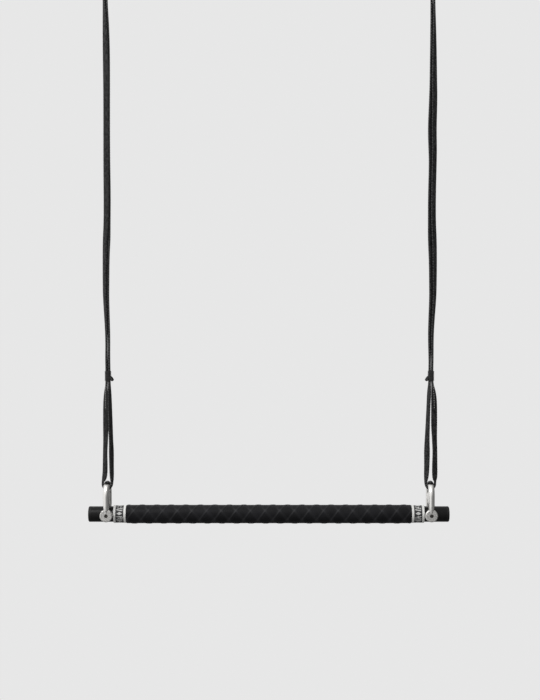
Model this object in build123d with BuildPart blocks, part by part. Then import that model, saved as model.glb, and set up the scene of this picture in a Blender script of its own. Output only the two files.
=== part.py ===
"""Trapeze bar: a padded steel bar hung on two doubled straps by two steel shackles.

Millimetres. The origin is the middle of the line between the two top loops, where the hooks
bear. +Z is up, +X runs along the bar to the right, and +Y points away from the viewer.
"""

import os
from math import atan, cos, pi, radians, sin, sqrt, tan

from build123d import *

os.makedirs("parts", exist_ok=True)

# The bar
bar_length = 650.0
tube_diameter = 28.0
tube_wall = 2.0
bar_z = -1010.0
cap_flange = 5.0
cap_plug_length = 14.0
cap_rib_count = 6

# The grip and its finishing tapes
grip_length = 514.0
grip_base_diameter = 33.0
tape_length = 22.5
tape_diameter = 31.6
tape_gap = 0.3

# The shackles
pin_x = 291.5
rod_diameter = 11.0
bow_inside_width = 30.0
crown_top_above_pin = 60.5
ear_diameter = 22.4
ear_thickness = 9.5
ear_rim_chamfer = 1.4
leg_foot_radius = 4.0
pin_diameter = 10.0
pin_head_diameter = 16.0
pin_head_depth = 4.0
socket_across_flats = 6.0
socket_depth = 5.0
running_clearance = 0.05
bush_diameter = 14.0
bush_length = 29.6

# The straps: one flat tubular webbing, laid double
strand_width = 11.2
strand_thickness = 4.2
strand_corner = 1.2
strand_gap = 0.2
rod_seat_gap = 0.1
hook_diameter = 13.0
lower_tack_z = bar_z + 250.0
lower_tack_height = 20.0
swing_z = -52.0
top_tack_height = 13.0
tack_wrap = 1.0
tack_clearance = 0.05
tack_corner = 3.0
flex_gap = 0.4
tail_angle = 26.0
tail_length = 16.8
tail_width = 10.0
tail_thickness = 4.0

half_pitch = (strand_thickness + strand_gap) / 2
half_bundle = half_pitch + strand_thickness / 2
tack_width = 2 * (half_bundle + tack_wrap)
tack_depth = strand_width + 2 * tack_wrap
sway_z = swing_z - top_tack_height - flex_gap - half_bundle
sides = {"left": -1, "right": 1}


# The bar tube, with a cross hole for each bush
with BuildPart() as bar_tube:
    with BuildSketch(Plane.YZ.offset(-bar_length / 2 + cap_flange)):
        with Locations((0, bar_z)):
            Circle(tube_diameter / 2)
            Circle(tube_diameter / 2 - tube_wall, mode=Mode.SUBTRACT)
    extrude(amount=bar_length - 2 * cap_flange)
    for side in sides.values():
        with BuildSketch(Plane.XZ.offset(-tube_diameter)):
            with Locations((side * pin_x, bar_z)):
                Circle(bush_diameter / 2)
        extrude(amount=2 * tube_diameter, mode=Mode.SUBTRACT)
bar_tube.part.label = "bar_tube"
export_step(bar_tube.part, "parts/bar_tube.step")


# The grip sleeve, slid over the tube
with BuildPart() as grip_sleeve:
    with BuildSketch(Plane.YZ.offset(-grip_length / 2)):
        with Locations((0, bar_z)):
            Circle(grip_base_diameter / 2)
            Circle(tube_diameter / 2, mode=Mode.SUBTRACT)
    extrude(amount=grip_length)
    ends = grip_sleeve.edges().filter_by(GeomType.CIRCLE).group_by(SortBy.RADIUS)[-1]
    chamfer(ends, 0.8)
grip_sleeve.part.label = "grip_sleeve"
export_step(grip_sleeve.part, "parts/grip_sleeve.step")


# A finishing tape wound round the tube beside each end of the grip
def finishing_tape(side, name):
    near = grip_length / 2 + tape_gap
    with BuildPart() as tape:
        with BuildSketch(Plane.YZ.offset(side * near)):
            with Locations((0, bar_z)):
                Circle(tape_diameter / 2)
                Circle(tube_diameter / 2, mode=Mode.SUBTRACT)
        extrude(amount=side * tape_length)
        rims = tape.edges().filter_by(GeomType.CIRCLE).group_by(SortBy.RADIUS)[-1]
        chamfer(rims, 0.4)
    tape.part.label = name
    export_step(tape.part, f"parts/{name}.step")


# An end cap: a flange flush with the tube, and a ribbed plug inside it
def end_cap(side, name):
    seam = side * (bar_length / 2 - cap_flange)
    bore = tube_diameter / 2 - tube_wall
    plug = bore - 0.8
    with BuildPart() as cap:
        with BuildSketch(Plane.YZ.offset(seam)):
            with Locations((0, bar_z)):
                Circle(tube_diameter / 2)
        extrude(amount=side * cap_flange)
        outer = cap.edges().group_by(Axis.X)[-1 if side > 0 else 0]
        chamfer(outer, 1.4)
        with BuildSketch(Plane.YZ.offset(seam)):
            with Locations((0, bar_z)):
                Circle(plug)
                Circle(plug - 1.8, mode=Mode.SUBTRACT)
                with PolarLocations(plug - 0.1, cap_rib_count):
                    Rectangle(2 * (bore - plug), 1.6)
        extrude(amount=-side * cap_plug_length)
    cap.part.label = name
    export_step(cap.part, f"parts/{name}.step")


# A bush through the tube, in which the shackle pin turns
def pin_bush(side, name):
    with BuildPart() as bush:
        with BuildSketch(Plane.XZ.offset(-bush_length / 2)):
            with Locations((side * pin_x, bar_z)):
                Circle(bush_diameter / 2)
                Circle(pin_diameter / 2 + running_clearance, mode=Mode.SUBTRACT)
        extrude(amount=bush_length)
    bush.part.label = name
    export_step(bush.part, f"parts/{name}.step")


# The shackle's bow: a round rod bent into a U, with a flat ear forged at each end
def shackle_bow(side, name):
    inner = bow_inside_width / 2
    bend = inner + rod_diameter / 2
    bend_z = bar_z + crown_top_above_pin - rod_diameter / 2 - bend
    ear_radius = ear_diameter / 2
    ear_middle = inner + ear_thickness / 2
    head_face = inner + ear_thickness
    shoulder_z = bar_z + ear_radius + 5
    with BuildPart() as bow:
        with BuildLine(Plane.YZ.offset(side * pin_x)) as route:
            Line((-bend, shoulder_z), (-bend, bend_z))
            ThreePointArc((-bend, bend_z), (0, bend_z + bend), (bend, bend_z))
            Line((bend, bend_z), (bend, shoulder_z))
        with BuildSketch(Plane(origin=(side * pin_x, -bend, shoulder_z), z_dir=(0, 0, 1))):
            Circle(rod_diameter / 2)
        sweep(path=route.wires()[0])
        for front in (-1, 1):
            with BuildSketch(Plane(origin=(side * pin_x, front * bend, shoulder_z), z_dir=(0, 0, 1))):
                Circle(rod_diameter / 2)
            with BuildSketch(Plane(origin=(side * pin_x, front * bend, bar_z), z_dir=(0, 0, 1))):
                Circle(leg_foot_radius)
            loft()
            with BuildSketch(Plane.YZ.offset(side * pin_x)) as ear:
                with Locations((front * ear_middle, bar_z + ear_radius / 2)):
                    Rectangle(ear_thickness, ear_radius)
                chamfer(ear.vertices().sort_by(Axis.Y)[-2:], ear_rim_chamfer)
            revolve(axis=Axis((side * pin_x, 0, bar_z), (0, 1, 0)))
        with BuildSketch(Plane.XZ.offset(2 * inner + rod_diameter)):
            with Locations((side * pin_x, bar_z)):
                Circle(pin_diameter / 2 + running_clearance)
        extrude(amount=-4 * inner - 2 * rod_diameter, mode=Mode.SUBTRACT)
        with BuildSketch(Plane.XZ.offset(head_face)):
            with Locations((side * pin_x, bar_z)):
                Circle(pin_head_diameter / 2 + running_clearance)
        with BuildSketch(Plane.XZ.offset(head_face - pin_head_depth)):
            with Locations((side * pin_x, bar_z)):
                Circle(pin_diameter / 2 + running_clearance)
        loft(mode=Mode.SUBTRACT)
    bow.part.label = name
    export_step(bow.part, f"parts/{name}.step")


# The shackle's pin: a flush countersunk head with a hexagon socket, screwed into the rear ear
def shackle_pin(side, name):
    head_face = bow_inside_width / 2 + ear_thickness
    with BuildPart() as pin:
        with BuildSketch(Plane.XZ.offset(head_face)):
            with Locations((side * pin_x, bar_z)):
                Circle(pin_head_diameter / 2)
        with BuildSketch(Plane.XZ.offset(head_face - pin_head_depth)):
            with Locations((side * pin_x, bar_z)):
                Circle(pin_diameter / 2)
        loft()
        with BuildSketch(Plane.XZ.offset(head_face - pin_head_depth)):
            with Locations((side * pin_x, bar_z)):
                Circle(pin_diameter / 2)
        extrude(amount=-(2 * head_face - pin_head_depth))
        point = pin.edges().group_by(Axis.Y)[-1]
        chamfer(point, 0.8)
        with BuildSketch(Plane.XZ.offset(head_face)):
            with Locations((side * pin_x, bar_z)):
                RegularPolygon(socket_across_flats / 2, 6, major_radius=False)
        extrude(amount=-socket_depth, mode=Mode.SUBTRACT)
    pin.part.label = name
    export_step(pin.part, f"parts/{name}.step")


# The doubled webbing's route about x = 0: in at end_z, together to neck_z, and round an arc at turn_z
def doubled_route(radius, end_z, neck_z, turn_z):
    corner = radius
    for refining in range(8):
        lean = atan((corner - half_pitch) / abs(turn_z - neck_z))
        corner = radius * tan(pi / 4 + lean / 2) + 0.02
    return [
        (-half_pitch, end_z),
        (-half_pitch, neck_z),
        (-corner, turn_z),
        (corner, turn_z),
        (half_pitch, neck_z),
        (half_pitch, end_z),
    ]


# A length of the webbing swept along such a route beside x = middle, with its flat side facing X
def swept_cord(middle, points, radii):
    start_z = points[0][1]
    heading = (0, 0, -1 if points[1][1] < start_z else 1)
    with BuildPart() as cord:
        with BuildLine(Plane.XZ) as route:
            FilletPolyline(*[(middle + x, z) for x, z in points], radius=radii)
        start = Plane(origin=(middle - half_pitch, 0, start_z), x_dir=(0, 1, 0), z_dir=heading)
        with BuildSketch(start) as section:
            Rectangle(strand_width, strand_thickness)
            chamfer(section.vertices(), strand_corner)
        sweep(path=route.wires()[0])
    length = route.wires()[0].length
    ratio = cord.part.volume / (section.sketch.area * length)
    print(f"cord length {length:.1f} radii {radii} volume ratio {ratio:.4f}")
    return cord.part


# The strap: down one run, under the bow of the shackle and up the other, its top end rounded to flex.
# The bow curves down on both sides of its crown, so the flat webbing hangs a little below it.
def strap(side, name):
    middle = side * pin_x
    seat_radius = rod_diameter / 2 + rod_seat_gap + strand_thickness / 2
    crown_z = bar_z + crown_top_above_pin - rod_diameter / 2
    inner = bow_inside_width / 2
    crown_drop = inner - sqrt(inner**2 - (strand_width / 2) ** 2) + rod_seat_gap
    turn_z = crown_z - seat_radius - crown_drop
    neck_z = lower_tack_z - lower_tack_height / 2 - 4
    points = doubled_route(seat_radius, sway_z + half_bundle, neck_z, turn_z)
    with BuildPart() as cord:
        add(swept_cord(middle, points, [60.0, seat_radius, seat_radius, 60.0]))
        with BuildSketch(Plane.XZ.offset(-strand_width)):
            with Locations((middle, sway_z + half_bundle)):
                Rectangle(2 * half_bundle + 2, 2 * half_bundle)
            with Locations((middle, sway_z)):
                Circle(half_bundle, mode=Mode.SUBTRACT)
        extrude(amount=2 * strand_width, mode=Mode.SUBTRACT)
    cord.part.label = name
    export_step(cord.part, f"parts/{name}.step")


# The top loop, which the user's hook goes through
def top_loop(side, name):
    radius = hook_diameter / 2 + strand_thickness / 2
    foot_z = swing_z + tack_depth / 2 + flex_gap
    points = doubled_route(radius, foot_z, foot_z + 7, strand_thickness / 2)
    cord = swept_cord(side * pin_x, points, [20.0, radius, radius, 20.0])
    cord.label = name
    export_step(cord, f"parts/{name}.step")


# The lower tack: thread and webbing sewn round both runs of the strap
def lower_tack(side, name):
    foot_z = lower_tack_z - lower_tack_height / 2
    with BuildPart() as tack:
        with BuildSketch(Plane.XY.offset(foot_z)):
            with Locations((side * pin_x, 0)):
                RectangleRounded(tack_width, tack_depth, tack_corner)
        extrude(amount=lower_tack_height)
        chamfer(tack.edges().group_by(Axis.Z)[0] + tack.edges().group_by(Axis.Z)[-1], 0.6)
        with BuildSketch(Plane.XY.offset(foot_z)) as passage:
            with Locations((side * pin_x, 0)):
                Rectangle(2 * (half_bundle + tack_clearance), strand_width + 2 * tack_clearance)
            chamfer(passage.vertices(), strand_corner)
        extrude(amount=lower_tack_height, mode=Mode.SUBTRACT)
    tack.part.label = name
    export_step(tack.part, f"parts/{name}.step")


# The top tack: the short sewn block between the loop and the strap, rounded above to flex
def top_tack(side, name):
    with BuildPart() as tack:
        with BuildSketch(Plane.YZ.offset(side * pin_x - tack_width / 2)):
            with Locations((0, swing_z)):
                Circle(tack_depth / 2)
            with Locations((0, swing_z - top_tack_height / 2)):
                Rectangle(tack_depth, top_tack_height)
        extrude(amount=tack_width)
    tack.part.label = name
    export_step(tack.part, f"parts/{name}.step")


# The strap's free end, left standing out of the lower tack towards the middle of the bar
def strap_tail(side, name):
    slope = radians(tail_angle)
    inward = -side
    start = (side * pin_x + inward * half_pitch, 0, lower_tack_z + 8)
    heading = (inward * sin(slope), 0, -cos(slope))
    foot_z = lower_tack_z - lower_tack_height
    with BuildPart() as tail:
        with BuildSketch(Plane(origin=start, x_dir=(0, 1, 0), z_dir=heading)) as section:
            Rectangle(tail_width, tail_thickness)
            chamfer(section.vertices(), strand_corner)
        extrude(amount=tail_length)
        chamfer(tail.faces().sort_by(Axis.Z)[0].edges(), 0.8)
        with BuildSketch(Plane.XY.offset(foot_z)):
            with Locations((side * pin_x, 0)):
                RectangleRounded(tack_width, tack_depth, tack_corner)
        extrude(amount=2 * lower_tack_height, mode=Mode.SUBTRACT)
    tail.part.label = name
    export_step(tail.part, f"parts/{name}.step")


for side_name, side in sides.items():
    finishing_tape(side, f"{side_name}_finishing_tape")
    end_cap(side, f"{side_name}_end_cap")
    pin_bush(side, f"{side_name}_pin_bush")
    shackle_bow(side, f"{side_name}_shackle_bow")
    shackle_pin(side, f"{side_name}_shackle_pin")
    strap(side, f"{side_name}_strap")
    lower_tack(side, f"{side_name}_lower_tack")
    strap_tail(side, f"{side_name}_strap_tail")
    top_tack(side, f"{side_name}_top_tack")
    top_loop(side, f"{side_name}_top_loop")
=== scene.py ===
"""The looks of a trapeze bar: a black steel bar with a ribbed grip, hung by two steel shackles
from two doubled webbing straps. Metres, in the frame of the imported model: +X runs along the bar
to the right, +Y away from the viewer and +Z up, from the line between the two top loops."""

from math import atan2, cos, copysign, floor, pi, radians, sin, sqrt, tau

import bmesh
import bpy
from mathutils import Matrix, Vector


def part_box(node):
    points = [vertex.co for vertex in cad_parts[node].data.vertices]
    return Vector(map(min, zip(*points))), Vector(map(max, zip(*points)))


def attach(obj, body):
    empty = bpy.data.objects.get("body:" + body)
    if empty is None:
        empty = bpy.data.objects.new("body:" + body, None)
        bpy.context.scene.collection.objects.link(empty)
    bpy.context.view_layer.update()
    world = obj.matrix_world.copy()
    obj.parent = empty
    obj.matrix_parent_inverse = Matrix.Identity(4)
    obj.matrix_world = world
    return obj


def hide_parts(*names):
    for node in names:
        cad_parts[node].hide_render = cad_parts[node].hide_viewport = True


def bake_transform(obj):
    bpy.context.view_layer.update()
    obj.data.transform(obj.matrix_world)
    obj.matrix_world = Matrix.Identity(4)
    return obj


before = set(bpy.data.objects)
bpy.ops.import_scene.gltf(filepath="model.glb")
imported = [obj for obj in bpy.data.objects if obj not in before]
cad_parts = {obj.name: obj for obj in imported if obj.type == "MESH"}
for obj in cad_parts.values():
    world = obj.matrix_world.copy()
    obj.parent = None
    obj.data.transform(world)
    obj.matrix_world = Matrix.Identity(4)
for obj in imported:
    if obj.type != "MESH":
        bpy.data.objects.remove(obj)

scene = bpy.context.scene
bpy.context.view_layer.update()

# Bar tube
# Drawn steel tube, 28 mm across, cross bored for the two bushes and sprayed satin black. The
# paint has a faint orange peel and is a little duller where it has been rubbed.
tube_low, tube_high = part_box("bar_tube")
bar_z = (tube_low.z + tube_high.z) / 2
tube_radius = (tube_high.z - tube_low.z) / 2
paint_black = (0.0036, 0.0036, 0.0036)
paint_rubbed = (0.0075, 0.0075, 0.0075)
paint_roughness = (0.28, 0.40)
rubbing_scale = 26
orange_peel_scale = 620
orange_peel_depth = 0.00012


def finish(name, colour, roughness, **sockets):
    """A new material whose even values are set on the shader itself."""
    material = bpy.data.materials.new(name)
    material.use_nodes = True
    shader = material.node_tree.nodes["Principled BSDF"]
    shader.inputs["Base Color"].default_value = (*colour, 1)
    shader.inputs["Roughness"].default_value = roughness
    for socket, value in sockets.items():
        shader.inputs[socket.replace("_", " ")].default_value = value
    return material


def add(owner, kind, inputs=None, **settings):
    """A node in a material or the world. Its inputs are plain values or other nodes' outputs."""
    made = owner.node_tree.nodes.new("ShaderNode" + kind)
    for setting, value in settings.items():
        setattr(made, setting, value)
    for socket, value in (inputs or {}).items():
        if isinstance(value, bpy.types.NodeSocket):
            owner.node_tree.links.new(value, made.inputs[socket])
        else:
            made.inputs[socket].default_value = value
    return made


def object_place(material):
    return add(material, "TexCoord").outputs["Object"]


def noise(material, place, scale, detail=3.0, roughness=0.55):
    inputs = {"Vector": place, "Scale": scale, "Detail": detail, "Roughness": roughness}
    return add(material, "TexNoise", inputs).outputs["Fac"]


def between(owner, amount, low, high, first, last, **settings):
    """The amount's range low to high, spread over first to last and held there."""
    inputs = {"Value": amount, "From Min": low, "From Max": high, "To Min": first, "To Max": last}
    return add(owner, "MapRange", inputs, **settings).outputs["Result"]


def blend_colours(material, amount, first, last):
    """A colour from first to last; either may be another node's output."""
    made = add(material, "Mix", {"Factor": amount}, data_type="RGBA")
    for socket, colour in ((made.inputs[6], first), (made.inputs[7], last)):
        if isinstance(colour, bpy.types.NodeSocket):
            material.node_tree.links.new(colour, socket)
        else:
            socket.default_value = (*colour, 1)
    return made.outputs[2]


def feed(material, output, socket):
    shader = material.node_tree.nodes["Principled BSDF"]
    material.node_tree.links.new(output, shader.inputs[socket])


def raise_surface(material, height, distance):
    made = add(material, "Bump", {"Height": height, "Distance": distance, "Strength": 1.0})
    feed(material, made.outputs["Normal"], "Normal")


def cover(node, material):
    """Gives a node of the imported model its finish."""
    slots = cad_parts[node].data.materials
    slots.clear()
    slots.append(material)


bar_paint = finish("satin black paint", paint_black, 0.30, Specular_IOR_Level=0.13)
place = object_place(bar_paint)
rubbed = noise(bar_paint, place, rubbing_scale, detail=6)
wear_and_dark_reflection = between(bar_paint, rubbed, 0.45, 0.7, 0, 1)
feed(bar_paint, blend_colours(bar_paint, wear_and_dark_reflection, paint_black, paint_rubbed), "Base Color")
feed(bar_paint, between(bar_paint, rubbed, 0.35, 0.7, *paint_roughness), "Roughness")
raise_surface(bar_paint, noise(bar_paint, place, orange_peel_scale, detail=2), orange_peel_depth)
cover("bar_tube", bar_paint)

# End caps
# Black moulded plastic plugs pressed into the tube. The flange is as wide as the tube, so only
# a fine seam shows, and its mould finish is duller than the paint.
cap_black = (0.0045, 0.0045, 0.0045)
cap_roughness = (0.44, 0.58)
mould_grain_scale = 2400
mould_grain_depth = 0.00006
mould_mottle_scale = 90
cap_plastic = finish("moulded black plastic", cap_black, 0.5, Specular_IOR_Level=0.22)
place = object_place(cap_plastic)
raise_surface(cap_plastic, noise(cap_plastic, place, mould_grain_scale, detail=2), mould_grain_depth)
mottle = noise(cap_plastic, place, mould_mottle_scale)
feed(cap_plastic, between(cap_plastic, mottle, 0.3, 0.7, *cap_roughness), "Roughness")
for side in ("left", "right"):
    cover(f"{side}_end_cap", cap_plastic)

# Pin bushes
# Plain turned steel bushes pressed through the tube. Their ends stand just proud of it and
# carry the turning marks of the lathe.
bush_grey = (0.46, 0.46, 0.45)
turning_stretch = (60, 4000, 60)
turning_depth = 0.00003
bush_steel = finish("turned steel", bush_grey, 0.34, Metallic=1.0)
turned = add(bush_steel, "Mapping", {"Vector": object_place(bush_steel), "Scale": turning_stretch})
raise_surface(bush_steel, noise(bush_steel, turned.outputs["Vector"], 1, detail=2), turning_depth)
for side in ("left", "right"):
    cover(f"{side}_pin_bush", bush_steel)

# Grip sleeve
# Soft black rubber sleeve, shrunk over the tube. Three low ribs wind round it one way and three
# the other, so their crossings stand out as rows of crosses, painted paler as a painted highlight.
grip_low, grip_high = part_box("grip_sleeve")
grip_length = grip_high.x - grip_low.x
grip_base_radius = 0.0165
grip_end_round = 0.0011
rib_height = 0.00072
rib_half_width = 0.0021
rib_starts = 3
rib_lead = 0.0788
rib_shift = -0.0057
rib_turn = radians(30)
rib_run_out = 0.004
crossing_lift = 0.15
grip_steps_along = 470
grip_steps_round = 108
grip_black = (0.0055, 0.0055, 0.0062)
grip_worn = (0.0090, 0.0090, 0.0102)
# Colour of the painted highlight on the rib crossings.
grip_crossing_highlight = (0.0200, 0.0200, 0.0218)
highlight_half_width = 0.0052
grip_roughness = (0.40, 0.54)
wear_scale = 34
rubber_grain_scale = 1500
rubber_grain_depth = 0.00008
sharp_edge = radians(40)
weld_distance = 0.00001


def wrapped(middle_x, length, steps_along, steps_round, radius_at):
    """A sheet bent round the bar, closed behind it and lined down to the tube."""
    mesh = bmesh.new()
    mesh.loops.layers.uv.new("UVMap")
    bmesh.ops.create_grid(mesh, x_segments=steps_along, y_segments=steps_round, size=1, calc_uvs=True)
    for vertex in mesh.verts:
        x = middle_x + vertex.co.x / 2 * length
        angle = vertex.co.y * pi
        radius = radius_at(x, angle)
        vertex.co = (x, -radius * cos(angle), bar_z + radius * sin(angle))
    bmesh.ops.remove_doubles(mesh, verts=mesh.verts, dist=weld_distance)
    rims = [edge for edge in mesh.edges if edge.is_boundary]
    lining = bmesh.ops.extrude_edge_only(mesh, edges=rims)["geom"]
    for vertex in (part for part in lining if isinstance(part, bmesh.types.BMVert)):
        out = Vector((0, vertex.co.y, vertex.co.z - bar_z)).normalized() * tube_radius
        vertex.co = (vertex.co.x, out.y, bar_z + out.z)
    bmesh.ops.bridge_loops(mesh, edges=[edge for edge in mesh.edges if edge.is_boundary])
    return mesh


def piece(name, mesh, material, slot, body, *nodes):
    """Ends a mesh: faces outwards, smooth but for its sharp edges, riding on its body if it has one."""
    bmesh.ops.recalc_face_normals(mesh, faces=mesh.faces)
    for face in mesh.faces:
        face.smooth = True
    for edge in mesh.edges:
        edge.smooth = edge.calc_face_angle(0) < sharp_edge
    data = bpy.data.meshes.new(name)
    mesh.to_mesh(data)
    mesh.free()
    data.materials.append(material)
    made = bpy.data.objects.new(name, data)
    scene.collection.objects.link(made)
    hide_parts(*nodes)
    if body:
        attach(made, body)
    return made


def rib_rises(x, angle, half_width=rib_half_width):
    """How far up the ribs of either hand are there, each from 0 to 1."""
    slope = tau * grip_base_radius / rib_lead
    narrowing = 1 / sqrt(1 + slope * slope)
    rises = []
    for hand in (-1, 1):
        starts = rib_starts * ((angle - rib_turn) / tau - hand * (x - rib_shift) / rib_lead)
        off = abs(starts - floor(starts + 0.5)) / rib_starts * tau * grip_base_radius * narrowing
        rises.append((1 + cos(pi * min(off / half_width, 1))) / 2)
    return rises


def grip_radius(x, angle):
    """The sleeve with its ribs, which make a lump where they cross and run out at its ends."""
    first, second = rib_rises(x, angle)
    rise = rib_height * min(first + second, 1 + crossing_lift * first * second)
    from_end = min(x - grip_low.x, grip_high.x - x)
    rounding = max(0.0, 1 - from_end / grip_end_round)
    edge_drop = grip_end_round * (1 - sqrt(1 - rounding * rounding))
    return grip_base_radius + rise * min(1.0, from_end / rib_run_out) - edge_drop


grip_rubber = finish("soft black rubber", grip_black, 0.46, Specular_IOR_Level=0.09)
place = object_place(grip_rubber)
worn = noise(grip_rubber, place, wear_scale, detail=5)
wearing = between(grip_rubber, worn, 0.4, 0.72, 0, 1)
rubber = blend_colours(grip_rubber, wearing, grip_black, grip_worn)
# The rib crossings are painted paler by the crossing attribute, as a painted highlight.
painted_highlight = add(grip_rubber, "Attribute", attribute_name="crossing").outputs["Fac"]
feed(grip_rubber, blend_colours(grip_rubber, painted_highlight, rubber, grip_crossing_highlight), "Base Color")
feed(grip_rubber, between(grip_rubber, worn, 0.3, 0.7, *grip_roughness), "Roughness")
grain = add(grip_rubber, "TexVoronoi", {"Vector": place, "Scale": rubber_grain_scale})
raise_surface(grip_rubber, grain.outputs["Distance"], rubber_grain_depth)
grip = wrapped(0.0, grip_length, grip_steps_along, grip_steps_round, grip_radius)
crossing = grip.verts.layers.float.new("crossing")
# Each vertex stores how much painted highlight its place on the rib crossings gets.
for vertex in grip.verts:
    angle = atan2(vertex.co.z - bar_z, -vertex.co.y)
    first, second = rib_rises(vertex.co.x, angle, highlight_half_width)
    vertex[crossing] = 0.7 * first * second + 0.3 * max(first, second)
piece("ribbed_grip", grip, grip_rubber, "grip_rubber", "bar", "grip_sleeve")

# Finishing tapes
# One turn and a lap of woven tape finishes each end of the grip. Its two borders are pale and
# slightly raised, and a plain print of pale lozenges, short slanting bars and specks repeats
# between them.
tape_base_radius = 0.0155
tape_lap = 0.00022
lap_step_at = 0.999
tape_edge_round = 0.0005
tape_edge_drop = 0.0002
border_width = 0.0040
border_rise = 0.00022
border_slope = 0.0006
tape_steps_along = 60
tape_steps_round = 96
tape_pale = (0.60, 0.60, 0.585)
tape_soiled = (0.50, 0.50, 0.48)
tape_black = (0.0110, 0.0110, 0.0120)
tape_grey = (0.44, 0.44, 0.43)
soiling_scale = 160
speck_scale = 430
weave_depth = 0.0003
prints_round = 5
print_start = 0.55
lozenge_at = 0.22
lozenge_flattening = 1.5
bar_slant = 1.2
bars_per_print = 5
bars_from, bars_to = 0.44, 0.74
specks_from, specks_to = 0.74, 1.0
print_blur = 0.02
weft_threads = 180
warp_threads = 40


def tape_radius(low, high):
    """The tape's radius between its two edges, with its borders and the step of its lap."""
    def radius_at(x, angle):
        from_edge = min(x - low, high - x)
        border = min(1.0, max(0.0, (border_width - from_edge) / border_slope))
        turned = (angle + pi) / tau
        lap = tape_lap * turned if turned < lap_step_at else 0.0
        edge = max(0.0, 1 - from_edge / tape_edge_round)
        return tape_base_radius + lap + border_rise * border - tape_edge_drop * edge * edge
    return radius_at


def worked(owner, operation, *amounts):
    """The outcome of one step of arithmetic on plain values or other nodes' outputs."""
    return add(owner, "Math", dict(enumerate(amounts)), operation=operation).outputs[0]


def own_map(material):
    return add(material, "TexCoord").outputs["UV"]


def distance_from_middle(material, amount):
    """0 in the middle of each unit step of the amount and 0.5 at its ends."""
    part = worked(material, "FRACT", amount)
    return worked(material, "ABSOLUTE", worked(material, "SUBTRACT", part, 0.5))


def along(owner, place, weights):
    """The dot product of a place with some weights: how far along a direction it lies."""
    return add(owner, "VectorMath", {0: place, 1: weights}, operation="DOT_PRODUCT").outputs["Value"]


def window(material, amount, low, high):
    """1 while the amount lies between the two, and 0 outside."""
    rising = between(material, amount, low, low + print_blur, 0, 1)
    falling = between(material, amount, high - print_blur, high, 1, 0)
    return worked(material, "MULTIPLY", rising, falling)


tape = finish("woven finishing tape", tape_pale, 0.62)
strip = own_map(tape)
low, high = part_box("left_finishing_tape")
border_share = border_width / (high.x - low.x)
across = distance_from_middle(tape, along(tape, strip, (1, 0, 0)))
repeat = worked(tape, "ADD", along(tape, strip, (0, prints_round, 0)), print_start)
repeat = worked(tape, "FRACT", repeat)
from_lozenge = worked(tape, "ABSOLUTE", worked(tape, "SUBTRACT", repeat, lozenge_at))
from_lozenge = worked(tape, "MULTIPLY_ADD", from_lozenge, lozenge_flattening, across)
lozenge = between(tape, from_lozenge, 0.21, 0.25, 1, 0)
slant = along(tape, strip, (bar_slant, bars_per_print * prints_round, 0))
bars = between(tape, distance_from_middle(tape, slant), 0.20, 0.28, 1, 0)
bars = worked(tape, "MULTIPLY", bars, window(tape, repeat, bars_from, bars_to))
bars = worked(tape, "MULTIPLY", bars, between(tape, across, 0.22, 0.25, 1, 0))
place = object_place(tape)
specks = between(tape, noise(tape, place, speck_scale), 0.50, 0.56, 0, 0.9)
specks = worked(tape, "MULTIPLY", specks, window(tape, repeat, specks_from, specks_to))
specks = worked(tape, "MULTIPLY", specks, between(tape, across, 0.24, 0.28, 1, 0))
printed = worked(tape, "MAXIMUM", worked(tape, "MAXIMUM", lozenge, bars), specks)
middle = blend_colours(tape, printed, tape_black, tape_grey)
border_edge = 0.5 - border_share
on_border = between(tape, across, border_edge - 0.01, border_edge + 0.01, 0, 1)
soiling = between(tape, noise(tape, place, soiling_scale, detail=4), 0.35, 0.75, 0, 1)
pale = blend_colours(tape, soiling, tape_pale, tape_soiled)
feed(tape, blend_colours(tape, on_border, middle, pale), "Base Color")
weft = distance_from_middle(tape, along(tape, strip, (0, weft_threads, 0)))
warp = distance_from_middle(tape, along(tape, strip, (warp_threads, 0, 0)))
raise_surface(tape, worked(tape, "MULTIPLY", weft, warp), weave_depth)
for side in ("left", "right"):
    low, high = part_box(f"{side}_finishing_tape")
    shape = tape_radius(low.x, high.x)
    band = wrapped((low.x + high.x) / 2, high.x - low.x, tape_steps_along, tape_steps_round, shape)
    piece(f"{side}_tape_band", band, tape, "tape", "bar", f"{side}_finishing_tape")

# Shackles
# Stainless bows forged from 11 mm rod, polished along the rod and left finely pitted on the
# flat ears, with a socket-headed pin screwed in flush from the front. The top of each bow is
# painted near black as a painted dark reflection of the webbing round it, and the middle of each
# pin's socket is painted dark as painted shade.
low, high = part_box("right_shackle_pin")
pin_x = (low.x + high.x) / 2
side_places = {"left": -pin_x, "right": pin_x}
ear_top = bar_z + 0.0125
ear_blend = 0.002
crown_reflection_height = -0.9550
crown_reflection_blend = 0.0012
socket_half = 0.0034
steel_bright = (0.70, 0.69, 0.67)
steel_dull = (0.60, 0.59, 0.57)
steel_pitted = (0.24, 0.235, 0.225)
# Near black of the painted reflection of the webbing on top of each bow.
steel_dark_reflection = (0.014, 0.014, 0.014)
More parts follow.
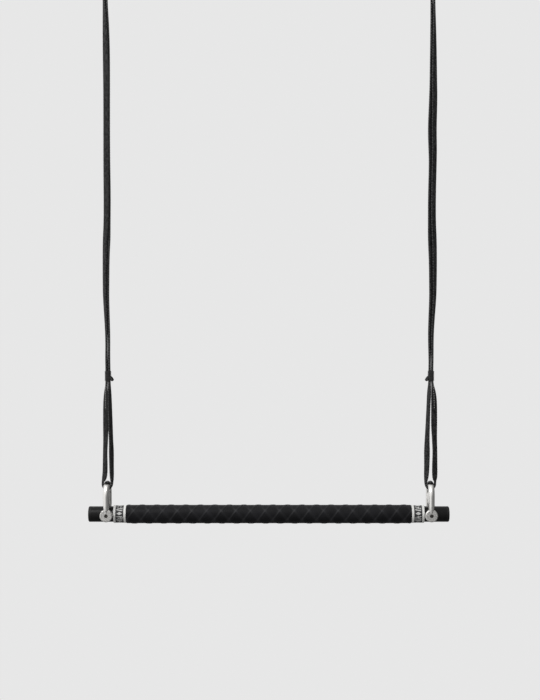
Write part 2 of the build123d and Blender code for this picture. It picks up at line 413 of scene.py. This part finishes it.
# Dark of the painted shade in the middle of each pin's socket.
socket_shade_colour = (0.090, 0.086, 0.080)
rod_roughness = (0.16, 0.26)
ear_added_roughness = 0.28
pin_roughness = (0.26, 0.48)
pit_scale = 700
pit_range = (0.50, 0.62)
ear_pit_depth = 0.0005
pin_pit_depth = 0.0004
mottle_scale = 260
polish_stretch = (2200, 2200, 60)
shackle_steel = finish("stainless steel", steel_bright, 0.2, Metallic=1.0)
place = object_place(shackle_steel)
height = add(shackle_steel, "SeparateXYZ", {"Vector": place}).outputs["Z"]
on_ear = between(shackle_steel, height, ear_top - ear_blend, ear_top + ear_blend, 1, 0)
mottle = noise(shackle_steel, place, mottle_scale, detail=4)
dulled = between(shackle_steel, mottle, 0.35, 0.65, 0.2, 1)
dulled = worked(shackle_steel, "MULTIPLY", on_ear, dulled)
steel = blend_colours(shackle_steel, dulled, steel_bright, steel_dull)
pitting = noise(shackle_steel, place, pit_scale, detail=5, roughness=0.7)
blemish = between(shackle_steel, pitting, *pit_range, 0, 1)
blemish = worked(shackle_steel, "MULTIPLY", blemish, on_ear)
steel = blend_colours(shackle_steel, blemish, steel, steel_pitted)
# Above this height the bow is painted near black: a painted dark reflection of the webbing round the crown.
wear_and_dark_reflection = between(shackle_steel, height, crown_reflection_height - crown_reflection_blend, crown_reflection_height + crown_reflection_blend, 0, 1)
feed(shackle_steel, blend_colours(shackle_steel, wear_and_dark_reflection, steel, steel_dark_reflection), "Base Color")
drawn = add(shackle_steel, "Mapping", {"Vector": place, "Scale": polish_stretch}).outputs["Vector"]
streaks = between(shackle_steel, noise(shackle_steel, drawn, 1, detail=2), 0.3, 0.7, *rod_roughness)
feed(shackle_steel, worked(shackle_steel, "MULTIPLY_ADD", dulled, ear_added_roughness, streaks), "Roughness")
raise_surface(shackle_steel, worked(shackle_steel, "MULTIPLY", pitting, on_ear), ear_pit_depth)

pin_steel = finish("stainless pin steel", steel_bright, 0.3, Metallic=1.0)
place = object_place(pin_steel)
spot = add(pin_steel, "SeparateXYZ", {"Vector": place}).outputs
from_axis = add(pin_steel, "CombineXYZ", {
    "X": worked(pin_steel, "SUBTRACT", worked(pin_steel, "ABSOLUTE", spot["X"]), pin_x),
    "Z": worked(pin_steel, "SUBTRACT", spot["Z"], bar_z),
}).outputs["Vector"]
reach = add(pin_steel, "VectorMath", {0: from_axis}, operation="LENGTH").outputs["Value"]
# The middle of each socket is painted dark: painted shade in the recess.
socket_shade = between(pin_steel, reach, socket_half * 0.85, socket_half * 1.1, 1, 0)
mottle = noise(pin_steel, place, mottle_scale, detail=4)
dulled = between(pin_steel, mottle, 0.35, 0.65, 0, 1)
steel = blend_colours(pin_steel, dulled, steel_bright, steel_dull)
pitting = noise(pin_steel, place, pit_scale, detail=5, roughness=0.7)
blemish = between(pin_steel, pitting, *pit_range, 0, 1)
steel = blend_colours(pin_steel, blemish, steel, steel_pitted)
feed(pin_steel, blend_colours(pin_steel, socket_shade, steel, socket_shade_colour), "Base Color")
feed(pin_steel, between(pin_steel, mottle, 0.3, 0.7, *pin_roughness), "Roughness")
raise_surface(pin_steel, pitting, pin_pit_depth)
for side in ("left", "right"):
    cover(f"{side}_shackle_bow", shackle_steel)
    cover(f"{side}_shackle_pin", pin_steel)

# Straps
# Black tubular webbing in a twill with a picked edge, 11 mm wide and 4 mm thick, laid double
# round the crown of the bow. The doubled run turns slowly, so it shows more of its face near the
# top and its edge just above the tack.
web_width = 0.0112
web_squareness = 3.2
web_step = 0.0007
web_sides = 26
web_pick = 0.0047
web_twill = 0.0030
twill_round = 9
pick_rise = 0.00022
twill_rise = 0.00012
edge_sharpness = 6
end_round = 0.002
end_flat = 0.08
web_black = (0.0035, 0.0035, 0.0037)
web_grey = (0.0520, 0.0520, 0.0525)
web_glint = (0.1500, 0.1500, 0.1500)
fibre_scale = 760
fading_scale = 230
yarn_relief = 0.35
fibre_relief = 0.6
web_relief_depth = 0.00018


def spline_line(points):
    """Points read from the smooth spline that has these control points."""
    curve = bpy.data.curves.new("route", "CURVE")
    curve.dimensions = "3D"
    curve.resolution_u = 60
    spline = curve.splines.new("NURBS")
    spline.points.add(len(points) - 1)
    for control, place in zip(spline.points, points):
        control.co = (*place, 1)
    spline.order_u = 3
    spline.use_endpoint_u = True
    holder = bpy.data.objects.new("route", curve)
    line = bpy.data.meshes.new_from_object(holder)
    found = [vertex.co.copy() for vertex in line.vertices]
    bpy.data.objects.remove(holder)
    bpy.data.curves.remove(curve)
    bpy.data.meshes.remove(line)
    return found


def even_rings(route, shapes, step):
    """Rings at even steps along the route: where each is, its shape and how far along it is."""
    line, shape_line = spline_line(route), spline_line(shapes)
    gone = [0.0]
    for first, last in zip(line, line[1:]):
        gone.append(gone[-1] + (last - first).length)
    count = round(gone[-1] / step)
    rings, at = [], 0
    for number in range(count + 1):
        far = gone[-1] * number / count
        while at < len(line) - 2 and gone[at + 1] < far:
            at += 1
        part = (far - gone[at]) / (gone[at + 1] - gone[at])
        place = line[at].lerp(line[at + 1], part)
        shape = shape_line[at].lerp(shape_line[at + 1], part)
        rings.append((place, shape, far))
    return rings


def webbing(rings, round_ends=False):
    """A woven tube along the rings. Each ring's shape is its turn, its width and its thickness."""
    mesh = bmesh.new()
    marks = mesh.loops.layers.uv.new("UVMap")
    last = len(rings) - 1
    bmesh.ops.create_grid(mesh, x_segments=last, y_segments=web_sides, size=1, calc_uvs=True)
    frames = []
    for number, (middle, shape, far) in enumerate(rings):
        heading = (rings[min(number + 1, last)][0] - rings[max(number - 1, 0)][0]).normalized()
        level = (Vector((0, 1, 0)) - heading * heading.y).normalized()
        outer = level.cross(heading)
        turn = shape.x
        wide = level * cos(turn) + outer * sin(turn)
        thick = outer * cos(turn) - level * sin(turn)
        frames.append((middle, wide * shape.y / 2, thick * shape.z / 2, far))
    power = 2 / web_squareness
    total = rings[-1][2]
    for vertex in mesh.verts:
        middle, wide, thick, far = frames[round((vertex.co.x + 1) / 2 * last)]
        angle = (vertex.co.y + 1) * pi
        edge, face = cos(angle), sin(angle)
        place = wide * copysign(abs(edge) ** power, edge) + thick * copysign(abs(face) ** power, face)
        edgewise = edge**edge_sharpness
        rise = pick_rise * edgewise * cos(tau * far / web_pick)
        rise += twill_rise * (1 - edgewise) * sin(tau * (far / web_twill + twill_round * angle / tau))
        if round_ends:
            left = max(0.0, 1 - min(far, total - far) / end_round)
            place *= sqrt(max(0.0, 1 - left * left)) * (1 - end_flat) + end_flat
        vertex.co = middle + place * (1 + rise / place.length)
    for face in mesh.faces:
        for loop in face.loops:
            loop[marks].uv.x *= total / web_pick
    bmesh.ops.remove_doubles(mesh, verts=mesh.verts, dist=weld_distance)
    bmesh.ops.holes_fill(mesh, edges=[edge for edge in mesh.edges if edge.is_boundary], sides=0)
    return mesh


def stripes(material, place, weights):
    """A wave from 0 to 1 across a direction."""
    turned = worked(material, "MULTIPLY", along(material, place, weights), tau)
    return between(material, worked(material, "SINE", turned), -1, 1, 0, 1)


strap_webbing = finish("black tubular webbing", web_black, 0.65, Specular_IOR_Level=0.10, Sheen_Weight=0.02)
strip = own_map(strap_webbing)
place = object_place(strap_webbing)
twills_per_pick = web_pick / web_twill
twill = stripes(strap_webbing, strip, (twills_per_pick, twill_round, 0))
yarn = stripes(strap_webbing, strip, (-3 * twills_per_pick, 3 * twill_round, 0))
picks = stripes(strap_webbing, strip, (1, 0, 0))
from_face = distance_from_middle(strap_webbing, along(strap_webbing, strip, (0, 2, 0)))
glints = between(strap_webbing, picks, 0.80, 1.0, 0, 0.75)
glints = worked(strap_webbing, "MULTIPLY", between(strap_webbing, from_face, 0.36, 0.46, 0, 1), glints)
fibre = noise(strap_webbing, place, fibre_scale, detail=5, roughness=0.75)
fading = noise(strap_webbing, place, fading_scale, detail=4, roughness=0.7)
lit = worked(strap_webbing, "MULTIPLY", twill, between(strap_webbing, fibre, 0.40, 0.62, 0.04, 1))
lit = worked(strap_webbing, "MULTIPLY", lit, between(strap_webbing, fading, 0.40, 0.60, 0.10, 2.1))
cloth = blend_colours(strap_webbing, lit, web_black, web_grey)
feed(strap_webbing, blend_colours(strap_webbing, glints, cloth, web_glint), "Base Color")
relief = worked(strap_webbing, "MULTIPLY_ADD", yarn, yarn_relief, twill)
relief = worked(strap_webbing, "MULTIPLY_ADD", fibre, fibre_relief, relief)
raise_surface(strap_webbing, relief, web_relief_depth)

# Each row of a doubled run: height, shift inwards, how far its face has turned from the viewer
# towards the outside, in degrees, and how far the runs have slid apart across their width.
doubled_rows = {
    "left": [
        (-0.0600, 0.0000, 90, 0.0), (-0.0900, 0.0003, 82, 0.0), (-0.1500, 0.0018, 42, 0.0),
        (-0.2350, 0.0024, 4, 0.0), (-0.3200, 0.0020, 2, 0.0), (-0.3800, 0.0019, 8, 0.0),
        (-0.4400, 0.0024, 28, 0.0), (-0.4850, 0.0019, 38, 0.0), (-0.5130, 0.0011, 46, 0.0029),
        (-0.5300, 0.0004, 50, 0.0024), (-0.5560, -0.0003, 54, 0.0018), (-0.6000, -0.0006, 59, 0.0019),
        (-0.6200, -0.0005, 62, 0.0010), (-0.6450, 0.0005, 68, 0.0004), (-0.6900, 0.0023, 80, 0.0),
        (-0.7300, 0.0018, 88, 0.0), (-0.7500, 0.0022, 88, 0.0), (-0.7720, 0.0022, 90, 0.0),
    ],
    "right": [
        (-0.0600, 0.0000, 90, 0.0), (-0.0900, -0.0003, 84, 0.0), (-0.1500, -0.0014, 60, 0.0),
        (-0.2350, -0.0019, 38, 0.0012), (-0.2620, -0.0019, 40, 0.0034), (-0.3200, -0.0002, 42, 0.0052),
        (-0.3500, -0.0012, 42, 0.0046), (-0.3800, -0.0016, 42, 0.0024), (-0.4400, -0.0003, 45, 0.0032),
        (-0.4850, -0.0005, 45, 0.0035), (-0.5130, -0.0013, 46, 0.0063), (-0.5560, -0.0027, 50, 0.0048),
        (-0.6000, -0.0028, 56, 0.0048), (-0.6200, -0.0027, 60, 0.0047), (-0.6630, -0.0004, 68, 0.0036),
        (-0.6900, 0.0005, 70, 0.0018), (-0.7300, -0.0002, 80, 0.0017), (-0.7500, 0.0001, 87, 0.0),
        (-0.7720, 0.0000, 90, 0.0),
    ],
}
# The eye round the shackle: height, place inwards, turn in degrees and thickness. The outer run
# comes down, passes under the crown, where it is squeezed a little, and goes up as the inner run.
eye_rows = {
    "left": [
        (-0.7900, -0.0020, 28, 0.0042), (-0.8110, -0.0022, 52, 0.0042), (-0.8470, -0.0022, 58, 0.0042),
        (-0.8760, -0.0026, 46, 0.0042), (-0.8980, -0.0036, 40, 0.0042), (-0.9200, -0.0036, 48, 0.0042),
        (-0.9370, -0.0040, 50, 0.0042), (-0.9465, -0.0058, 42, 0.0041), (-0.9505, -0.0082, 8, 0.0041),
        (-0.9590, -0.0080, 0, 0.0040), (-0.9641, -0.0035, 0, 0.0040), (-0.9641, 0.0035, 0, 0.0040),
        (-0.9590, 0.0080, 0, 0.0040), (-0.9505, 0.0085, 8, 0.0041), (-0.9465, 0.0084, 18, 0.0041),
        (-0.9370, 0.0081, 28, 0.0042), (-0.9200, 0.0078, 30, 0.0042), (-0.8980, 0.0077, 38, 0.0042),
        (-0.8760, 0.0072, 24, 0.0042), (-0.8470, 0.0060, 32, 0.0042), (-0.8110, 0.0052, 26, 0.0042),
        (-0.7900, 0.0047, 20, 0.0042),
    ],
    "right": [
        (-0.7900, -0.0052, 44, 0.0042), (-0.8110, -0.0061, 74, 0.0042), (-0.8470, -0.0062, 78, 0.0042),
        (-0.8600, -0.0065, 62, 0.0042), (-0.8760, -0.0071, 50, 0.0042), (-0.8980, -0.0080, 46, 0.0042),
        (-0.9200, -0.0077, 56, 0.0042), (-0.9370, -0.0078, 60, 0.0042), (-0.9465, -0.0080, 42, 0.0041),
        (-0.9505, -0.0086, 8, 0.0041), (-0.9590, -0.0080, 0, 0.0040), (-0.9641, -0.0035, 0, 0.0040),
        (-0.9641, 0.0035, 0, 0.0040), (-0.9590, 0.0080, 0, 0.0040), (-0.9505, 0.0085, 8, 0.0041),
        (-0.9465, 0.0078, 22, 0.0041), (-0.9370, 0.0071, 38, 0.0042), (-0.9200, 0.0065, 44, 0.0042),
        (-0.8980, 0.0064, 58, 0.0042), (-0.8760, 0.0063, 34, 0.0042), (-0.8470, 0.0052, 26, 0.0042),
        (-0.8110, 0.0040, 20, 0.0042), (-0.7900, 0.0030, 26, 0.0042),
    ],
}
web_thickness = 0.0042
run_pitch = 0.0046


def strap_route(side, middle):
    """Both runs of a strap and its eye, as control points and their shapes."""
    inward = 1 if side == "left" else -1
    runs = {"outer": [], "inner": []}
    for z, shift, facing, slide in doubled_rows[side]:
        facing = radians(facing)
        for run, out in (("outer", 1), ("inner", -1)):
            x = shift - out * (run_pitch / 2 * sin(facing) + slide / 2 * cos(facing))
            y = -out * (run_pitch / 2 * cos(facing) - slide / 2 * sin(facing))
            turn = out * inward * (pi / 2 - facing)
            runs[run].append(((middle + inward * x, y, z), (turn, web_width, web_thickness)))
    eye = [
        ((middle + inward * x, 0, z), (inward * radians(turn), web_width, thickness))
        for z, x, turn, thickness in eye_rows[side]
    ]
    whole = runs["outer"] + eye + runs["inner"][::-1]
    return [place for place, shape in whole], [shape for place, shape in whole]


strap_rings = {}
for side, middle in side_places.items():
    route, shapes = strap_route(side, middle)
    rings = even_rings(route, shapes, web_step)
    strap_rings[side] = rings
    mesh = webbing(rings)
    strap = piece(f"{side}_strap_webbing", mesh, strap_webbing, "strap_webbing", None, f"{side}_strap")
    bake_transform(strap)

# Lower tacks
# A short sleeve of the same webbing is wrapped round both runs of each strap, 250 mm above the
# bar, and sewn through with black thread in close rows.
sleeve_width = 0.0124
sleeve_thickness = 0.0098
sleeve_shift = {"left": 0.0022, "right": 0.0}
sleeve_end_share = 0.12
sleeve_step = 0.0004
sleeve_ribs_round = 12
sleeve_fibre_scale = 1500
sleeve_relief_depth = 0.0002
thread_grey = (0.0200, 0.0200, 0.0210)
thread_grain_scale = 2600
thread_grain_depth = 0.00008
thread_radius = 0.00032
thread_sides = 8
thread_steps = 6
thread_bulge = 2.2
thread_sink = 1.2
thread_end_share = 0.55
stitch_rows = 9
stitch_columns = 5
stitch_column_pitch = 0.0019
stitch_margin = 0.002
stitch_half_across = 0.0007
stitch_half_down = 0.0004
stitch_clearance = 0.0001
tack_webbing = finish("black sewn webbing", web_black, 0.7, Specular_IOR_Level=0.12)
rib = stripes(tack_webbing, own_map(tack_webbing), (2 * twills_per_pick, sleeve_ribs_round, 0))
place = object_place(tack_webbing)
fibre = noise(tack_webbing, place, sleeve_fibre_scale, detail=4, roughness=0.7)
lit = worked(tack_webbing, "MULTIPLY", rib, between(tack_webbing, fibre, 0.3, 0.7, 0.3, 1))
feed(tack_webbing, blend_colours(tack_webbing, lit, web_black, web_grey), "Base Color")
relief = worked(tack_webbing, "MULTIPLY_ADD", fibre, fibre_relief, rib)
raise_surface(tack_webbing, relief, sleeve_relief_depth)
sewing_thread = finish("black bonded thread", thread_grey, 0.42)
grain = noise(sewing_thread, object_place(sewing_thread), thread_grain_scale, detail=2)
raise_surface(sewing_thread, grain, thread_grain_depth)


def stitches(spots, radius):
    """Short sewn threads. Each spot is where one goes in, where it comes out and its outward side."""
    mesh = bmesh.new()
    for first, last, out in spots:
        first, last, out = Vector(first), Vector(last), Vector(out)
        sidewise = (last - first).cross(out).normalized()
        sheet = bmesh.ops.create_grid(mesh, x_segments=thread_steps, y_segments=thread_sides, size=1)
        for vertex in sheet["verts"]:
            share = (vertex.co.x + 1) / 2
            angle = (vertex.co.y + 1) * pi
            arch = sin(pi * share)
            thick = radius * (thread_end_share + (1 - thread_end_share) * arch)
            lift = radius * (thread_bulge * sqrt(arch + 0.0001) - thread_sink)
            corner = cos(angle) * sidewise + sin(angle) * out
            vertex.co = first.lerp(last, share) + out * lift + thick * corner
    bmesh.ops.remove_doubles(mesh, verts=mesh.verts, dist=weld_distance)
    bmesh.ops.holes_fill(mesh, edges=[edge for edge in mesh.edges if edge.is_boundary], sides=0)
    return mesh


def sewn_sleeve(name, middle, high_z, low_z, body, node):
    """A sleeve of webbing round the doubled run, pinched in by the thread rows across its faces."""
    length = high_z - low_z
    end_part = sleeve_end_share * length
    heights = [high_z, high_z - end_part, high_z - length / 2, low_z + end_part, low_z]
    pinches = (0.96, 1.04, 0.97, 1.04, 0.96)
    route = [(middle, 0, z) for z in heights]
    shapes = [(0, sleeve_width * pinch, sleeve_thickness * pinch) for pinch in pinches]
    rings = even_rings(route, shapes, sleeve_step)
    piece(name, webbing(rings, round_ends=True), tack_webbing, "tack_webbing", body, node)
    spots = []
    for side in (-1, 1):
        x = middle + side * (sleeve_thickness / 2 + stitch_clearance)
        for row in range(stitch_rows):
            z = high_z - stitch_margin - row * (length - 2 * stitch_margin) / (stitch_rows - 1)
            for column in range(stitch_columns):
                y = (column - (stitch_columns - 1) / 2) * stitch_column_pitch
                first = (x, y - stitch_half_across, z + stitch_half_down)
                last = (x, y + stitch_half_across, z - stitch_half_down)
                spots.append((first, last, (side, 0, 0)))
    piece(f"{name}_threads", stitches(spots, thread_radius), sewing_thread, "tack_webbing", body)


for side, middle in side_places.items():
    low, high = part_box(f"{side}_lower_tack")
    at = middle + sleeve_shift[side]
    sewn_sleeve(f"{side}_tack_sleeve", at, high.z, low.z, f"{side}_side", f"{side}_lower_tack")

# Eye stitching
# A row of pale bonded thread is sewn down the front of each outer run, just under the tack. Its
# short stitches show as light dots on the black webbing.
pale_grey = (0.34, 0.34, 0.33)
eye_stitch_count = 10
eye_stitch_pitch = 0.0042
eye_stitch_top = -0.7790
eye_stitch_half = 0.0010
eye_thread_radius = 0.00055
pale_thread = finish("pale bonded thread", pale_grey, 0.5)
for side in ("left", "right"):
    outer_run = strap_rings[side][:len(strap_rings[side]) // 2]
    spots = []
    for number in range(eye_stitch_count):
        z = eye_stitch_top - number * eye_stitch_pitch
        place, shape, far = min(outer_run, key=lambda ring: abs(ring[0].z - z))
        across = abs(cos(shape.x)) / shape.y * 2
        through = abs(sin(shape.x)) / shape.z * 2
        reach = (across**web_squareness + through**web_squareness) ** (-1 / web_squareness)
        front = place - Vector((0, reach, 0))
        half = Vector((0, 0, eye_stitch_half))
        spots.append((front + half, front - half, (0, -1, 0)))
    threads = stitches(spots, eye_thread_radius)
    piece(f"{side}_eye_stitching", threads, pale_thread, "tack_webbing", f"{side}_side")

# Strap tails
# The cut end of each strap stands out of its lower tack towards the middle of the bar. It was
# sealed with heat, which rounds and hardens it.
tail_line = ((-0.0010, -0.7598), (0.0035, -0.7615), (0.0070, -0.7645), (0.0098, -0.7691))
tail_shapes = [(0, 0.0100, 0.0058)] * 3 + [(0, 0.0094, 0.0050)]
tail_step = 0.0004
tail_shift = {"left": 0.0014, "right": -0.0006}
for side, middle in side_places.items():
    inward = 1 if side == "left" else -1
    route = [(middle + inward * (x + tail_shift[side]), 0, z) for x, z in tail_line]
    tail = webbing(even_rings(route, tail_shapes, tail_step), round_ends=True)
    piece(f"{side}_tail_end", tail, strap_webbing, "tack_webbing", f"{side}_side", f"{side}_strap_tail")

# Top tacks
# The same sewn sleeve again, just under the loop that goes on the hook. The run bends above it
# and below it.
top_tack_high = -0.0532
top_tack_low = -0.0650
for side, middle in side_places.items():
    sewn_sleeve(f"{side}_top_sleeve", middle, top_tack_high, top_tack_low, "top_tacks", f"{side}_top_tack")

# Top loops
# The straps end in loops of the same webbing, open enough for a 13 mm hook and sewn shut in
# the top tacks.
loop_points = [
    (-0.0022, -0.0620), (-0.0022, -0.0500), (-0.0022, -0.0400), (-0.0060, -0.0265),
    (-0.0094, -0.0120), (-0.0088, -0.0029), (-0.0037, 0.0021),
]
loop_points += [(-x, z) for x, z in reversed(loop_points)]
for side, middle in side_places.items():
    route = [(middle + x, 0, z) for x, z in loop_points]
    rings = even_rings(route, [(0, web_width, web_thickness)] * len(route), web_step)
    mesh = webbing(rings)
    loop = piece(f"{side}_loop_webbing", mesh, strap_webbing, "strap_webbing", None, f"{side}_top_loop")
    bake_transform(loop)

# Floor
# A plain pale disc lies well below the bar. It thins out towards its rim, so that it fades into
# the pale backdrop, and it neither lights the object nor shows in the steel.
backdrop_grey = (0.80, 0.80, 0.80)
floor_z = -1.65
floor_radius = 1.0
floor_solid_share = 0.35
floor_sides = 96
floor_paint = finish("pale floor", backdrop_grey, 0.9, Specular_IOR_Level=0.0)
place = object_place(floor_paint)
out = add(floor_paint, "VectorMath", {0: place, 1: (1, 1, 0)}, operation="MULTIPLY").outputs["Vector"]
reach = add(floor_paint, "VectorMath", {0: out}, operation="LENGTH").outputs["Value"]
solid_radius = floor_solid_share * floor_radius
feed(floor_paint, between(floor_paint, reach, solid_radius, floor_radius, 1, 0), "Alpha")
mesh = bmesh.new()
bmesh.ops.create_circle(mesh, cap_ends=True, segments=floor_sides, radius=floor_radius)
for vertex in mesh.verts:
    vertex.co.z = floor_z
data = bpy.data.meshes.new("floor")
mesh.to_mesh(data)
mesh.free()
data.materials.append(floor_paint)
floor_disc = bpy.data.objects.new("floor", data)
scene.collection.objects.link(floor_disc)
floor_disc.visible_glossy = False
floor_disc.visible_diffuse = False

# Light
# The whole sky gives soft light, and most of it from above and the left. A large key lamp stands
# in front on the left, and a weaker fill lamp on the right.
bright_side = (-0.74, -0.14, 0.66)
sky_dark = 0.22
sky_bright = 1.18
world = bpy.data.worlds.new("pale studio")
scene.world = world
world.use_nodes = True
world.node_tree.nodes.clear()
towards = along(world, add(world, "TexCoord").outputs["Generated"], bright_side)
level = between(world, towards, -0.42, 0.8, sky_dark, sky_bright, interpolation_type="SMOOTHSTEP")
lighting = add(world, "Background", {"Color": (1, 1, 1, 1), "Strength": level})
seen = add(world, "Background", {"Color": (*backdrop_grey, 1)})
ray = add(world, "LightPath")
shown = {0: ray.outputs["Is Camera Ray"], 1: lighting.outputs[0], 2: seen.outputs[0]}
add(world, "OutputWorld", {"Surface": add(world, "MixShader", shown).outputs[0]})


def lamp(name, width, height, power, place, aim):
    """A soft area lamp of that size and power, turned towards its aim."""
    light = bpy.data.lights.new(name, "AREA")
    light.shape = "RECTANGLE"
    light.size = width
    light.size_y = height
    light.energy = power
    made = bpy.data.objects.new(name, light)
    made.location = place
    made.rotation_euler = (Vector(aim) - made.location).to_track_quat("-Z", "Y").to_euler()
    scene.collection.objects.link(made)
    return made


lamp("soft key", 1.0, 0.8, 21, (-0.95, -0.95, 0.35), (-0.15, 0, -0.95))
fill = lamp("soft fill", 1.0, 1.0, 7, (1.5, -0.5, -0.5), (0, 0, -0.8))
fill.visible_glossy = False

# Camera
# It stands straight in front of the bar and a little above it, and looks slightly down through
# a long lens, as in the photograph.
lens = bpy.data.cameras.new("camera")
lens.sensor_width = 36
lens.lens = 71.18
camera = bpy.data.objects.new("camera", lens)
camera.location = (0.0021, -2.4854, -0.6093)
camera.rotation_euler = (radians(87.6), 0, 0)
scene.collection.objects.link(camera)
scene.camera = camera
scene.view_settings.view_transform = "Standard"
